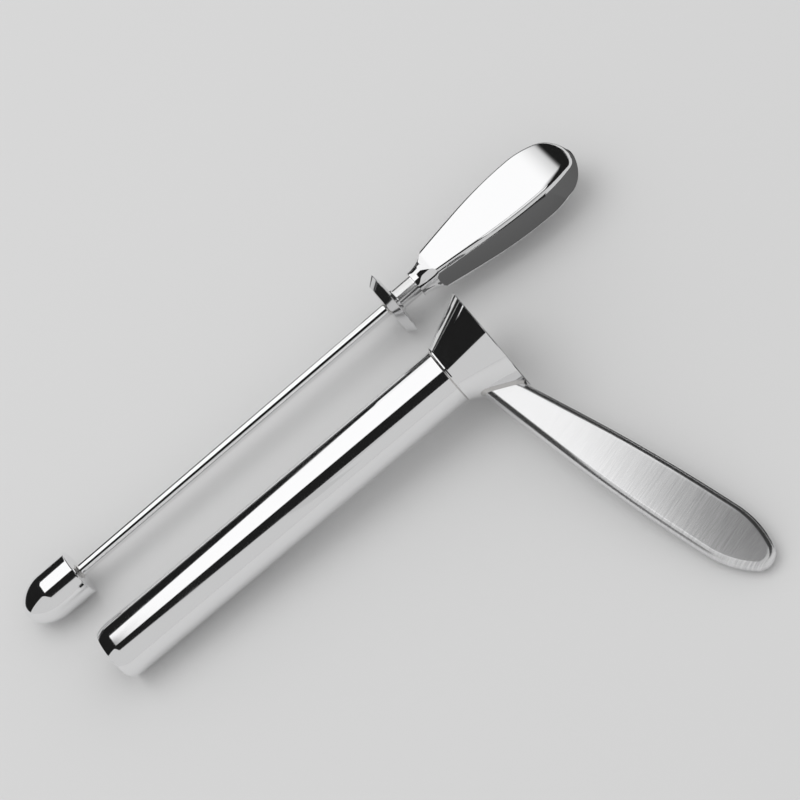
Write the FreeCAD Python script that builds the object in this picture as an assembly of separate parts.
import FreeCAD, Part
import math
import os

# Steel anoscope with its obturator drawn out and laid beside the barrel on a bench.
# Units are millimetres. Both instruments are modelled along their own +X axis,
# the distal end at x = 0, then laid on the bench: +X towards the bell,
# the flat handle towards -Y, the obturator behind the barrel, +Z up.
# The origin is the middle of the whole footprint, on the bench.

Vector = FreeCAD.Vector
X_AXIS = Vector(1, 0, 0)
Y_AXIS = Vector(0, 1, 0)
Z_AXIS = Vector(0, 0, 1)
ORIGIN = Vector(0, 0, 0)

# Barrel
BARREL_LENGTH = 155.8
BARREL_D = 22.0
BARREL_WALL = 1.0
LIP_LENGTH = 4.6
LIP_DROP = 1.0
LIP_EDGE = 0.22
LEAD_IN = 0.5

# Bell
BELL_LENGTH = 19.8
BELL_MOUTH_D = 43.0
BELL_WALL = 1.0
BELL_OVERLAP = 0.8
BELL_RIM_EDGE = 0.4
BELL_BRAZE = 0.6

# Flat handle of the scope, hollow, of two pressed halves; places are from the barrel's axis
HANDLE_FOOT_TO_RIM = 8.5
HANDLE_LEAN = 16.2
HANDLE_REACH = 131.8
HANDLE_THICK = 6.0
HANDLE_WALL = 1.1
HANDLE_SEAM = 2.2
HANDLE_EDGE = 2.6
HANDLE_FOOT_WIDTH = 9.7
HANDLE_BOW_LENGTH = 55.662
HANDLE_WIDEST = 19.8
HANDLE_WIDEST_TO_TIP = 27.8
HANDLE_SHOULDER_TO_TIP = 20.8
HANDLE_TIP_R = 6.0
HANDLE_ROOT_BRAZE = 1.0

# Obturator nose and rod
NOSE_D = 18.8
NOSE_LENGTH = 25.0
NOSE_DOME = 12.5
NOSE_TIP_R = 7.6
NOSE_EDGE = 0.5
NOSE_CLEARANCE = 0.15
NOSE_SOCKET = 12.0
NOSE_BRAZE = 0.9
NOSE_PROTRUSION = 16.2
ROD_D = 4.8
ROD_TANG = 12.0

# Seating cone, which stops in the throat of the bell
SEAT_FRONT_D = 21.3
SEAT_D = 26.4
SEAT_TAPER_LENGTH = 3.3
SEAT_BACK_LENGTH = 0.9
SEAT_BACK_D = 21.3
SEAT_DISH = 0.35
SEAT_HUB_D = 9.0
SEAT_HUB_LENGTH = 1.2
SEAT_BRAZE = 0.7

# Grip of the obturator, hollow, of two pressed halves round a bush
NECK_D = 10.4
NECK_LENGTH = 8.6
SHOULDER_LENGTH = 10.0
SHOULDER_R = 14.0
GRIP_LENGTH = 83.0
GRIP_WIDTH = 25.0
GRIP_HEIGHT = 14.5
GRIP_WALL = 1.2
GRIP_EDGE = 1.6
GRIP_START_WIDTH = 11.0
GRIP_START_HEIGHT = 10.9
GRIP_NECK_OVERLAP = 0.5
GRIP_BOW_LENGTH = 26.985
GRIP_WIDEST_TO_END = 20.4
GRIP_TIP_R = 10.7
GRIP_EASE_R = 90.0
GRIP_DROP_LENGTH = 8.8
GRIP_END_R = 14.0
GRIP_END_MARGIN = 0.2
GRIP_END_FLAT = 0.2
GRIP_CAVITY_END = 4.0

# How the obturator lies: its place beside the scope and its turns
OBTURATOR_TIP_X = -20.2
OBTURATOR_TIP_Y = 38.1
OBTURATOR_YAW = 1.97
OBTURATOR_ROLL = 8.0

# How closely the angles of rest are found
STEEPEST = 45.0
BALANCE_STEPS = 40
TIP_FINENESS = 0.02
ON_SURFACE = 0.001

# Values that follow from the driving dimensions
BARREL_R = BARREL_D / 2
BORE_R = BARREL_R - BARREL_WALL
NOSE_R = NOSE_D / 2
LIP_R = NOSE_R + NOSE_CLEARANCE
LIP_ARC_R = (LIP_LENGTH ** 2 + LIP_DROP ** 2) / (2 * LIP_DROP)
ROD_R = ROD_D / 2
BELL_START = BARREL_LENGTH - BELL_OVERLAP
MOUTH_X = BELL_START + BELL_LENGTH
MOUTH_R = BELL_MOUTH_D / 2
BELL_THROAT_R = BARREL_R + BELL_WALL
BELL_SLOPE = (MOUTH_R - BELL_THROAT_R) / (MOUTH_X - BARREL_LENGTH)
HANDLE_FOOT_AT = MOUTH_X - HANDLE_FOOT_TO_RIM
SEAT_R = SEAT_D / 2
SEAT_RIM_X = NOSE_PROTRUSION + BARREL_LENGTH + (SEAT_R - BARREL_R) / BELL_SLOPE
SEAT_AT = SEAT_RIM_X - SEAT_TAPER_LENGTH
SEAT_BACK_X = SEAT_RIM_X + SEAT_BACK_LENGTH
GRIP_START = SEAT_BACK_X - SEAT_DISH + SEAT_HUB_LENGTH
SWELL_START = GRIP_START + NECK_LENGTH
BAR_START = SWELL_START - GRIP_NECK_OVERLAP
OBTURATOR_LENGTH = GRIP_START + GRIP_LENGTH
GRIP_EASE_LENGTH = GRIP_WIDEST_TO_END - GRIP_DROP_LENGTH
GRIP_EASE_DROP = GRIP_EASE_R - math.sqrt(GRIP_EASE_R ** 2 - GRIP_EASE_LENGTH ** 2)


def revolve(edges):
    """Turns a closed profile in the XY plane about the X axis into a solid."""
    face = Part.Face(Part.Wire(Part.__sortEdges__(edges)))
    return face.revolve(ORIGIN, X_AXIS, 360)


def outline(points, bends=None):
    """Edges of a closed XY outline; bends maps a run's index to its arc's middle point."""
    bends = bends or {}
    ends = [Vector(x, y, 0) for x, y in points]
    edges = []
    for index, start in enumerate(ends):
        end = ends[(index + 1) % len(ends)]
        if index in bends:
            edges.append(Part.Arc(start, Vector(*bends[index], 0), end).toShape())
        else:
            edges.append(Part.LineSegment(start, end).toShape())
    return edges


def lip_drop_at(distance):
    """How far the swaged lip's arc lies under the barrel, at a distance from its start."""
    return LIP_ARC_R - math.sqrt(LIP_ARC_R ** 2 - distance ** 2)


def barrel_tube():
    """Thin tube whose distal end is swaged in to the nose and whose other end has a lead-in."""
    half = LIP_LENGTH / 2
    inner_mid = BORE_R - (BORE_R - LIP_R) * lip_drop_at(half) / LIP_DROP
    points = [
        (LIP_LENGTH, BARREL_R),
        (BARREL_LENGTH, BARREL_R),
        (BARREL_LENGTH, BORE_R + LEAD_IN),
        (BARREL_LENGTH - LEAD_IN, BORE_R),
        (LIP_LENGTH, BORE_R),
        (LIP_EDGE, LIP_R),
        (0, LIP_R + LIP_EDGE),
        (LIP_EDGE, BARREL_R - lip_drop_at(LIP_LENGTH - LIP_EDGE)),
    ]
    bends = {
        4: (half, inner_mid),
        7: (half, BARREL_R - lip_drop_at(half)),
    }
    return revolve(outline(points, bends))


def bell_outer_r(x):
    """Outer radius of the bell's cone at a place along the axis."""
    return BELL_THROAT_R + BELL_SLOPE * (x - BARREL_LENGTH)


def bell_funnel():
    """Spun cone whose collar slips over the barrel's end; its rim is rounded."""
    inner_mouth_r = MOUTH_R - BELL_WALL
    half_edge = BELL_RIM_EDGE / 2
    points = [
        (BELL_START, BARREL_R),
        (BARREL_LENGTH, BARREL_R),
        (MOUTH_X - half_edge, inner_mouth_r - BELL_SLOPE * half_edge),
        (MOUTH_X, inner_mouth_r + half_edge),
        (MOUTH_X, MOUTH_R - half_edge),
        (MOUTH_X - half_edge, bell_outer_r(MOUTH_X - half_edge)),
        (BARREL_LENGTH, BELL_THROAT_R),
        (BELL_START, BELL_THROAT_R),
    ]
    return revolve(outline(points))


def braze_ring(x, radius, leg, side):
    """Ring of filler in the corner between a shaft and a face at x, with a sloping face."""
    points = [(x, radius), (x + side * leg, radius), (x, radius + leg)]
    return revolve(outline(points))


def arc_about(centre, start, end):
    """Arc in the XY plane from one point to another about a centre, the shorter way over it."""
    radius = (start - centre).Length
    middle = (start - centre) + (end - centre)
    middle.normalize()
    return Part.Arc(start, centre + middle * radius, end).toShape()


def both_sides(lines, arcs):
    """Edges of straight runs and of arcs about centres, on both sides of the X axis."""
    edges = []
    for side in (1, -1):
        for start, end in lines:
            run = [Vector(point.x, side * point.y, 0) for point in (start, end)]
            edges.append(Part.LineSegment(*run).toShape())
        for centre, start, end in arcs:
            edges.append(arc_about(*[Vector(point.x, side * point.y, 0) for point in (centre, start, end)]))
    return edges


def rounded_end(shoulder_at, half, tip_r, tip):
    """Where a shoulder's arc meets the tip's arc, both tangent, and the shoulder's centre."""
    run = tip - tip_r - shoulder_at
    shoulder_r = (run ** 2 + half ** 2 - tip_r ** 2) / (2 * (half - tip_r))
    shoulder = Vector(shoulder_at, half - shoulder_r, 0)
    tip_centre = Vector(tip - tip_r, 0, 0)
    outwards = tip_centre - shoulder
    outwards.normalize()
    return tip_centre + outwards * tip_r, shoulder


def bowed_side_r(run, rise, bow_length):
    """Radius of a side that rises straight, then bows over its last stretch until it lies level."""
    def excess(turn):
        return bow_length * math.tan(turn / 2) + (run - bow_length) * math.tan(turn) - rise
    return bow_length / math.sin(balance(excess, 0, math.radians(STEEPEST)))


def paddle(start, start_half, side_r, widest_at, half, shoulder_at, tip_r, tip):
    """Face in the XY plane with straight sides that bow out to the widest place and a round tip.

    The straight stretch from the start is tangent to the side's arc, and so is all after it.
    """
    foot = Vector(start, start_half, 0)
    side = Vector(widest_at, half - side_r, 0)
    to_foot = foot - side
    turn = math.acos(side_r / to_foot.Length)
    bearing = math.atan2(to_foot.y, to_foot.x) - turn
    touch = side + Vector(math.cos(bearing), math.sin(bearing), 0) * side_r
    widest = Vector(widest_at, half, 0)
    shoulder_start = Vector(shoulder_at, half, 0)
    meet, shoulder = rounded_end(shoulder_at, half, tip_r, tip)
    lines = [(foot, touch)]
    if shoulder_at > widest_at:
        lines.append((widest, shoulder_start))
    edges = both_sides(lines, [(side, touch, widest), (shoulder, shoulder_start, meet)])
    edges.append(Part.Arc(meet, Vector(tip, 0, 0), Vector(meet.x, -meet.y, 0)).toShape())
    edges.append(Part.LineSegment(Vector(start, -start_half, 0), foot).toShape())
    return Part.Face(Part.Wire(Part.__sortEdges__(edges)))


def slab(face, height):
    """Straight body of a height on a face of the XY plane, half of it below the plane."""
    body = face.extrude(Vector(0, 0, height))
    body.translate(Vector(0, 0, -height / 2))
    return body


def handle_plan(inset):
    """The handle's outline in its own plane, +X outwards from the barrel's axis."""
    widest_at = HANDLE_REACH - HANDLE_WIDEST_TO_TIP
    rise = (HANDLE_WIDEST - HANDLE_FOOT_WIDTH) / 2
    return paddle(
        BARREL_R,
        HANDLE_FOOT_WIDTH / 2 - inset,
        bowed_side_r(widest_at - BARREL_R, rise, HANDLE_BOW_LENGTH) - inset,
        widest_at,
        HANDLE_WIDEST / 2 - inset,
        HANDLE_REACH - HANDLE_SHOULDER_TO_TIP,
        HANDLE_TIP_R - inset,
        HANDLE_REACH - inset,
    )


def on_handle(shape):
    """Leans a body made in the handle's own plane and sets it on the bell."""
    lean = math.radians(HANDLE_LEAN)
    root = bell_outer_r(HANDLE_FOOT_AT)
    shape.rotate(ORIGIN, Z_AXIS, HANDLE_LEAN - 90)
    shape.translate(Vector(HANDLE_FOOT_AT - root * math.tan(lean), 0, 0))
    return shape


def handle_bar():
    """Flat bar on the handle's outline with its long edges rounded, before its foot is fitted."""
    bar = slab(handle_plan(0), HANDLE_THICK)
    rims = [edge for edge in bar.Edges if on_face(edge) and edge.BoundBox.XMax > BARREL_R + ON_SURFACE]
    return on_handle(bar.makeFillet(HANDLE_EDGE, rims))


def on_face(edge):
    """Whether an edge lies flat in one of the bar's two faces."""
    return edge.BoundBox.ZLength < ON_SURFACE


def handle_cavity():
    """Hollow of the handle, left by the pressed halves' wall and their folded seam."""
    return on_handle(slab(handle_plan(HANDLE_SEAM), HANDLE_THICK - 2 * HANDLE_WALL))


def bell_envelope():
    """Solid cone and cylinder that the bell and barrel fill outside."""
    points = [
        (0, 0),
        (MOUTH_X, 0),
        (MOUTH_X, MOUTH_R),
        (BARREL_LENGTH, BELL_THROAT_R),
        (BELL_START, BELL_THROAT_R),
        (BELL_START, BARREL_R),
        (0, BARREL_R),
    ]
    return revolve(outline(points))


def mouth_trim():
    """Block past the mouth's plane, where nothing of the handle's foot may stand."""
    reach = HANDLE_REACH
    block = Part.makeBox(reach, 2 * MOUTH_R, 2 * MOUTH_R, Vector(MOUTH_X, -MOUTH_R, -MOUTH_R))
    return block


def half_space(side):
    """Large block above or below the handle's middle plane."""
    reach = 2 * OBTURATOR_LENGTH
    low = 0 if side > 0 else -reach
    return Part.makeBox(2 * reach, 2 * reach, reach, Vector(-reach, -reach, low))


def handle_solids():
    """Both pressed halves of the flat handle and the filler round its foot."""
    bell = bell_envelope()
    bar = handle_bar().cut(bell).cut(mouth_trim())
    shell = bar.cut(handle_cavity())
    top = shell.common(half_space(1))
    bottom = shell.common(half_space(-1))
    joined = bar.fuse(bell)
    seam = [edge for edge in joined.Edges if on_root(edge)]
    braze = joined.makeChamfer(HANDLE_ROOT_BRAZE, seam).cut(joined)
    return top, bottom, braze


def on_root(edge):
    """Whether an edge runs where the handle's foot meets the cone."""
    middle = edge.valueAt((edge.FirstParameter + edge.LastParameter) / 2)
    radius = math.hypot(middle.y, middle.z)
    on_cone = abs(radius - bell_outer_r(middle.x)) < ON_SURFACE
    return on_cone and middle.y < 0 and BARREL_LENGTH < middle.x < MOUTH_X - ON_SURFACE


def obturator_nose():
    """Bullet with a round tip, bowed flanks, a short cylinder and a flat back bored for the rod."""
    meet, flank = rounded_end(-NOSE_DOME, NOSE_R, NOSE_TIP_R, 0)
    meet.x = -meet.x
    flank.x = -flank.x
    tip_centre = Vector(NOSE_TIP_R, 0, 0)
    tip = Vector(0, 0, 0)
    widest = Vector(NOSE_DOME, NOSE_R, 0)
    socket_end = NOSE_LENGTH - NOSE_SOCKET
    runs = [
        (NOSE_DOME, NOSE_R),
        (NOSE_LENGTH - NOSE_EDGE, NOSE_R),
        (NOSE_LENGTH, NOSE_R - NOSE_EDGE),
        (NOSE_LENGTH, ROD_R),
        (socket_end, ROD_R),
        (socket_end, 0),
        (0, 0),
    ]
    ends = [Vector(x, y, 0) for x, y in runs]
    edges = [arc_about(tip_centre, tip, meet), arc_about(flank, meet, widest)]
    edges += [Part.LineSegment(a, b).toShape() for a, b in zip(ends, ends[1:])]
    return revolve(edges)


def obturator_rod():
    """Straight rod from the nose's socket, through the seating cone, into the grip's bush."""
    start = NOSE_LENGTH - NOSE_SOCKET
    length = GRIP_START + ROD_TANG - start
    return Part.makeCylinder(ROD_R, length, Vector(start, 0, 0), X_AXIS)


def seating_cone():
    """Turned flange: a taper that stops in the bell, a bevelled and dished back and a small hub."""
    hub_r = SEAT_HUB_D / 2
    points = [
        (SEAT_AT, ROD_R),
        (SEAT_AT, SEAT_FRONT_D / 2),
        (SEAT_RIM_X, SEAT_R),
        (SEAT_BACK_X, SEAT_BACK_D / 2),
        (SEAT_BACK_X - SEAT_DISH, hub_r + SEAT_HUB_LENGTH),
        (GRIP_START, hub_r),
        (GRIP_START, ROD_R),
    ]
    return revolve(outline(points))


def grip_plan(inset):
    """The grip's outline from above, its straight start just inside the end of the neck."""
    widest_at = OBTURATOR_LENGTH - GRIP_WIDEST_TO_END
    rise = (GRIP_WIDTH - GRIP_START_WIDTH) / 2
    return paddle(
        BAR_START,
        GRIP_START_WIDTH / 2 - inset,
        bowed_side_r(widest_at - BAR_START, rise, GRIP_BOW_LENGTH) - inset,
        widest_at,
        GRIP_WIDTH / 2 - inset,
        widest_at,
        GRIP_TIP_R - inset,
        OBTURATOR_LENGTH - inset,
    )


def grip_arcs():
    """Centre of the side's easing arc, where the dropping arc takes over, and that arc's centre."""
    easing = Vector(OBTURATOR_LENGTH - GRIP_WIDEST_TO_END, GRIP_HEIGHT / 2 - GRIP_EASE_R, 0)
    turn = math.asin(GRIP_EASE_LENGTH / GRIP_EASE_R)
    outwards = Vector(math.sin(turn), math.cos(turn), 0)
    meet = easing + outwards * GRIP_EASE_R
    return easing, meet, meet - outwards * GRIP_END_R


def grip_end_half(x):
    """Half the grip's height where its side drops to the end."""
    dropping = grip_arcs()[2]
    return dropping.y + math.sqrt(GRIP_END_R ** 2 - (x - dropping.x) ** 2)


def grip_side():
    """The grip's outline from the side: it rises from the neck, eases over and drops to a blunt end."""
    widest_at = OBTURATOR_LENGTH - GRIP_WIDEST_TO_END
    end_x = OBTURATOR_LENGTH + GRIP_END_MARGIN
    half = GRIP_HEIGHT / 2
    start = Vector(BAR_START, GRIP_START_HEIGHT / 2, 0)
    widest = Vector(widest_at, half, 0)
    run = widest_at - BAR_START
    rise = half - start.y
    rising = Vector(widest_at, half - (run ** 2 + rise ** 2) / (2 * rise), 0)
    easing, meet, dropping = grip_arcs()
    end = Vector(end_x, grip_end_half(end_x), 0)
    edges = both_sides([], [(rising, start, widest), (easing, widest, meet), (dropping, meet, end)])
    edges.append(Part.LineSegment(end, Vector(end.x, -end.y, 0)).toShape())
    edges.append(Part.LineSegment(Vector(start.x, -start.y, 0), start).toShape())
    return Part.Face(Part.Wire(Part.__sortEdges__(edges)))


def shoulder_rise(distance):
    """How far the turned shoulder's hollow arc stands over the neck, at a distance from its start."""
    return SHOULDER_R - math.sqrt(SHOULDER_R ** 2 - distance ** 2)


def turned_shoulder():
    """Body of revolution whose hollow flank trims the swell's corners down to the round neck."""
    neck_r = NECK_D / 2
    shoulder_end = SWELL_START + SHOULDER_LENGTH
    half = SHOULDER_LENGTH / 2
    wide = GRIP_WIDTH
    far = OBTURATOR_LENGTH + wide
    points = [
        (GRIP_START, 0),
        (GRIP_START, neck_r),
        (SWELL_START, neck_r),
        (shoulder_end, neck_r + shoulder_rise(SHOULDER_LENGTH)),
        (shoulder_end, wide),
        (far, wide),
        (far, 0),
    ]
    bends = {2: (SWELL_START + half, neck_r + shoulder_rise(half))}
    return revolve(outline(points, bends))


def grip_blank(plan, side):
    """Body with one outline seen from above and another seen from the side."""
    across = slab(side, 2 * GRIP_WIDTH)
    across.rotate(ORIGIN, X_AXIS, 90)
    return slab(plan, GRIP_WIDTH).common(across)


def long_edge(edge):
    """Whether an edge of the swell runs along it, between its flat faces and its sides."""
    return edge.BoundBox.XLength > ON_SURFACE


def grip_cavity():
    """Hollow of the grip with flat faces, so the wall is nowhere thinner along them than its size."""
    start = SWELL_START + SHOULDER_LENGTH
    widest_at = OBTURATOR_LENGTH - GRIP_WIDEST_TO_END
    easing_at = widest_at + GRIP_EASE_LENGTH
    end = OBTURATOR_LENGTH - GRIP_WALL
    upper = [
        (start, GRIP_START_HEIGHT / 2 - GRIP_WALL),
        (widest_at, GRIP_HEIGHT / 2 - GRIP_WALL),
        (easing_at, GRIP_HEIGHT / 2 - GRIP_EASE_DROP - GRIP_WALL),
        (end, GRIP_CAVITY_END / 2),
    ]
    lower = [(x, -y) for x, y in reversed(upper)]
    side = Part.Face(Part.Wire(outline(upper + lower)))
    return grip_blank(grip_plan(GRIP_WALL), side)


def grip_solids():
    """Both pressed halves of the grip, open at the neck where the bush fills them."""
    blank = grip_blank(grip_plan(0), grip_side())
    rims = [edge for edge in blank.Edges if long_edge(edge)]
    chamfer = min(GRIP_EDGE, grip_end_half(OBTURATOR_LENGTH) - GRIP_END_FLAT / 2)
    swell = blank.makeChamfer(chamfer, rims).common(turned_shoulder())
    neck = Part.makeCylinder(NECK_D / 2, NECK_LENGTH, Vector(GRIP_START, 0, 0), X_AXIS)
    depth = NECK_LENGTH + SHOULDER_LENGTH + GRIP_WALL
    opening = Part.makeCylinder(NECK_D / 2 - GRIP_WALL, depth, Vector(GRIP_START, 0, 0), X_AXIS)
    upper = neck.fuse(swell).common(half_space(1))
    shell = upper.cut(opening).cut(grip_cavity())
    return shell, shell.mirror(ORIGIN, Z_AXIS)


def grip_neck_bush():
    """Bush inside the neck: the halves close on it and the rod is brazed in it."""
    blank = Part.makeCylinder(NECK_D / 2 - GRIP_WALL, NECK_LENGTH, Vector(GRIP_START, 0, 0), X_AXIS)
    hole = Part.makeCylinder(ROD_R, NECK_LENGTH, Vector(GRIP_START, 0, 0), X_AXIS)
    return blank.cut(hole)


def balance(gap, low, high):
    """Angle where a gap that grows with the angle is nothing, found by halving the range."""
    for _ in range(BALANCE_STEPS):
        middle = (low + high) / 2
        if gap(middle) > 0:
            high = middle
        else:
            low = middle
    return (low + high) / 2


def lip_low(tilt):
    """Height of the swaged lip's lowest point over the barrel's distal centre, when tilted."""
    return LIP_LENGTH * math.sin(tilt) - (BARREL_R - LIP_ARC_R) * math.cos(tilt) - LIP_ARC_R


def bell_low(tilt):
    """Height of the bell rim's lowest point over the barrel's distal centre, when tilted."""
    x = MOUTH_X - BELL_RIM_EDGE / 2
    return x * math.sin(tilt) - bell_outer_r(x) * math.cos(tilt)


def nose_low(tilt):
    """Height of the nose's lowest point over its tip, when the obturator is tilted."""
    return NOSE_DOME * math.sin(tilt) - math.hypot(NOSE_DOME * math.sin(tilt), NOSE_R * math.cos(tilt))


def seat_low(tilt):
    """Height of the seating cone's lowest point over the nose's tip, when tilted."""
    return SEAT_RIM_X * math.sin(tilt) - SEAT_R * math.cos(tilt)


def scope_lie():
    """Roll, tilt and place that stand the scope on its lip, its bell's rim and its handle's tip."""
    tilt = balance(lambda turn: bell_low(turn) - lip_low(turn), 0, math.radians(STEEPEST))
    lift = -lip_low(tilt)
    points = handle_bar().tessellate(TIP_FINENESS)[0]
    rise = FreeCAD.Rotation(Y_AXIS, -math.degrees(tilt))

    def sink(roll):
        turn = rise.multiply(FreeCAD.Rotation(X_AXIS, math.degrees(roll)))
        return -lift - min(turn.multVec(point).z for point in points)

    roll = balance(sink, 0, math.radians(STEEPEST))
    return math.degrees(roll), math.degrees(tilt), 0, Vector(0, 0, lift)


def obturator_lie():
    """Roll, tilt, yaw and place that lay the obturator on its nose and its seating cone's rim."""
    tilt = balance(lambda turn: seat_low(turn) - nose_low(turn), 0, math.radians(STEEPEST))
    place = Vector(OBTURATOR_TIP_X, OBTURATOR_TIP_Y, -nose_low(tilt))
    return -OBTURATOR_ROLL, math.degrees(tilt), OBTURATOR_YAW, place


def lay(shape, lie):
    """Rolls a piece about its own axis, raises its far end, turns it and puts it in place."""
    roll, tilt, yaw, place = lie
    shape.rotate(ORIGIN, X_AXIS, roll)
    shape.rotate(ORIGIN, Y_AXIS, -tilt)
    shape.rotate(ORIGIN, Z_AXIS, yaw)
    shape.translate(place)
    return shape


def build():
    """All pieces by name, laid on the bench about the middle of their footprint."""
    handle_top, handle_bottom, handle_braze = handle_solids()
    grip_top, grip_bottom = grip_solids()
    scope = {
        "barrel_tube": barrel_tube(),
        "bell_funnel": bell_funnel(),
        "bell_braze_ring": braze_ring(BELL_START, BARREL_R, BELL_BRAZE, -1),
        "handle_shell_top": handle_top,
        "handle_shell_bottom": handle_bottom,
        "handle_root_braze": handle_braze,
    }
    obturator = {
        "obturator_nose": obturator_nose(),
        "nose_braze_ring": braze_ring(NOSE_LENGTH, ROD_R, NOSE_BRAZE, 1),
        "obturator_rod": obturator_rod(),
        "seating_cone": seating_cone(),
        "seating_cone_braze": braze_ring(SEAT_AT, ROD_R, SEAT_BRAZE, -1),
        "grip_neck_bush": grip_neck_bush(),
        "grip_shell_top": grip_top,
        "grip_shell_bottom": grip_bottom,
    }
    scope_at = scope_lie()
    obturator_at = obturator_lie()
    pieces = {name: lay(shape, scope_at) for name, shape in scope.items()}
    pieces.update({name: lay(shape, obturator_at) for name, shape in obturator.items()})
    box = Part.makeCompound(list(pieces.values())).optimalBoundingBox(False, False)
    shift = Vector(-box.Center.x, -box.Center.y, -box.ZMin)
    print("scope lies at", scope_at, "obturator at", obturator_at)
    print("shift to the middle of the footprint", shift)
    for name, shape in pieces.items():
        shape.translate(shift)
    return pieces


os.makedirs("parts", exist_ok=True)
for name, shape in build().items():
    print(name, "valid", shape.isValid(), "solids", len(shape.Solids), "volume", round(shape.Volume, 1))
    shape.exportStep(os.path.join("parts", name + ".step"))
